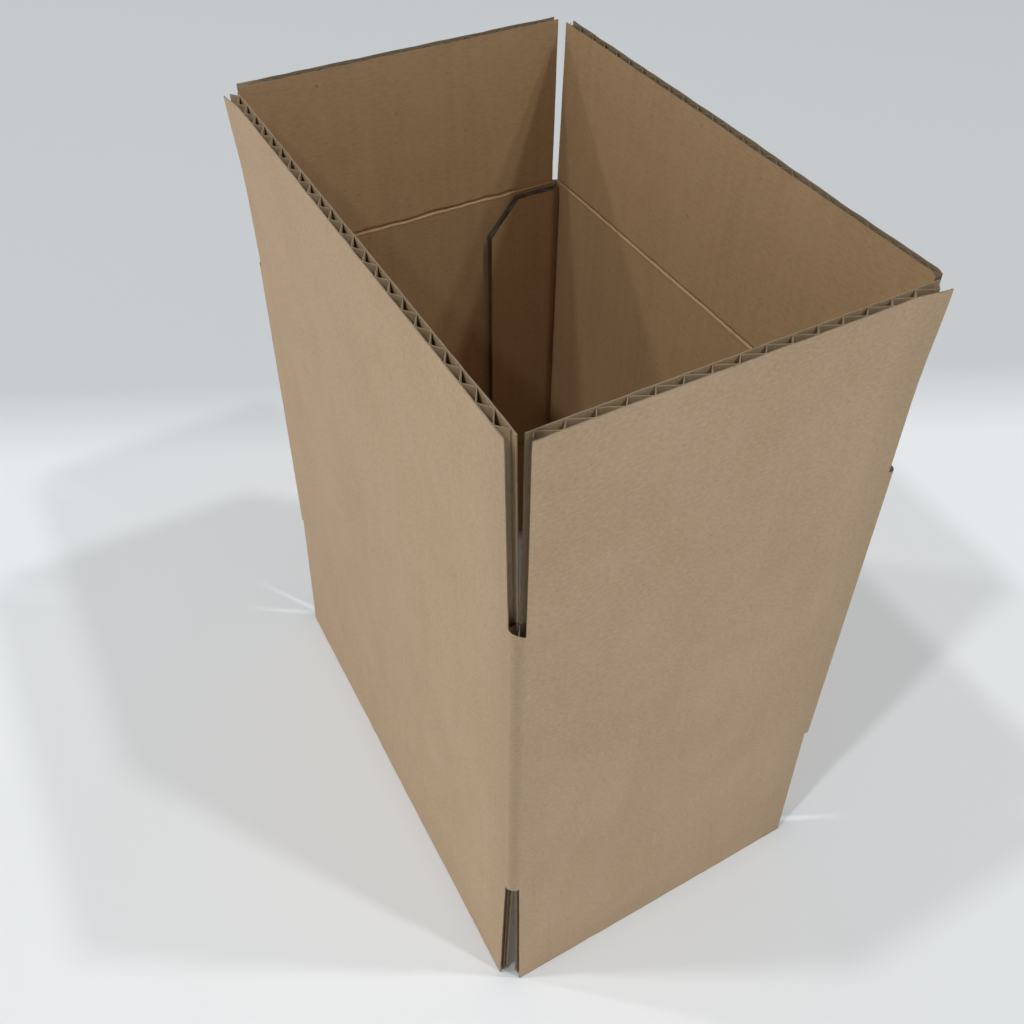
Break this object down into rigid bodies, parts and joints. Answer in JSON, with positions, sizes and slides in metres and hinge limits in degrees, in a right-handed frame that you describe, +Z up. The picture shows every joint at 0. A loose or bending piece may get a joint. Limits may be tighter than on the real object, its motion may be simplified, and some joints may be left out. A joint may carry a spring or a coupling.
{
  "type": "corrugated carton",
  "caption": "Small slotted carton of single-wall corrugated board, glued into a tube, with top and bottom flaps folded open in line with its walls.",
  "frame": {"origin": "centre of the tube's footprint, on the surface that the carton stands on", "axes": "+X along the long walls to the right wall, +Y across to the back wall, +Z up along the flutes; the front long wall is at -Y and the glued corner at -X +Y"},
  "size_m": [0.1618, 0.1076, 0.2199],
  "materials": {
    "kraft_board": "matte, uncoated kraft paper"
  },
  "bodies": {
    "sleeve": {"sleeve": "kraft_board"},
    "top_flap_front": {"top_flap_front": "kraft_board"},
    "top_flap_right": {"top_flap_right": "kraft_board"},
    "top_flap_back": {"top_flap_back": "kraft_board"},
    "top_flap_left": {"top_flap_left": "kraft_board"},
    "bottom_flap_front": {"bottom_flap_front": "kraft_board"},
    "bottom_flap_right": {"bottom_flap_right": "kraft_board"},
    "bottom_flap_back": {"bottom_flap_back": "kraft_board"},
    "bottom_flap_left": {"bottom_flap_left": "kraft_board"}
  },
  "joints": [
    {"name": "top_front_fold", "type": "hinge", "parent": "sleeve", "child": "top_flap_front", "pos_m": [0, -0.0526, 0.1686], "axis": [-1, 0, 0], "range_deg": [-173.7, 91.3]},
    {"name": "top_right_fold", "type": "hinge", "parent": "sleeve", "child": "top_flap_right", "pos_m": [0.079, 0, 0.1657], "axis": [0, -1, 0], "range_deg": [-175, 90]},
    {"name": "top_back_fold", "type": "hinge", "parent": "sleeve", "child": "top_flap_back", "pos_m": [0, 0.0526, 0.1686], "axis": [1, 0, 0], "range_deg": [-174.4, 90.6]},
    {"name": "top_left_fold", "type": "hinge", "parent": "sleeve", "child": "top_flap_left", "pos_m": [-0.079, 0, 0.1657], "axis": [0, 1, 0], "range_deg": [-172.2, 92.8]},
    {"name": "bottom_front_fold", "type": "hinge", "parent": "sleeve", "child": "bottom_flap_front", "pos_m": [0, -0.0526, 0.0512], "axis": [1, 0, 0], "range_deg": [-173.5, 91.5]},
    {"name": "bottom_right_fold", "type": "hinge", "parent": "sleeve", "child": "bottom_flap_right", "pos_m": [0.079, 0, 0.0541], "axis": [0, 1, 0], "range_deg": [-173.5, 91.5]},
    {"name": "bottom_back_fold", "type": "hinge", "parent": "sleeve", "child": "bottom_flap_back", "pos_m": [0, 0.0526, 0.0512], "axis": [-1, 0, 0], "range_deg": [-173.5, 91.5]},
    {"name": "bottom_left_fold", "type": "hinge", "parent": "sleeve", "child": "bottom_flap_left", "pos_m": [-0.079, 0, 0.0541], "axis": [0, -1, 0], "range_deg": [-173.5, 91.5]}
  ]
}
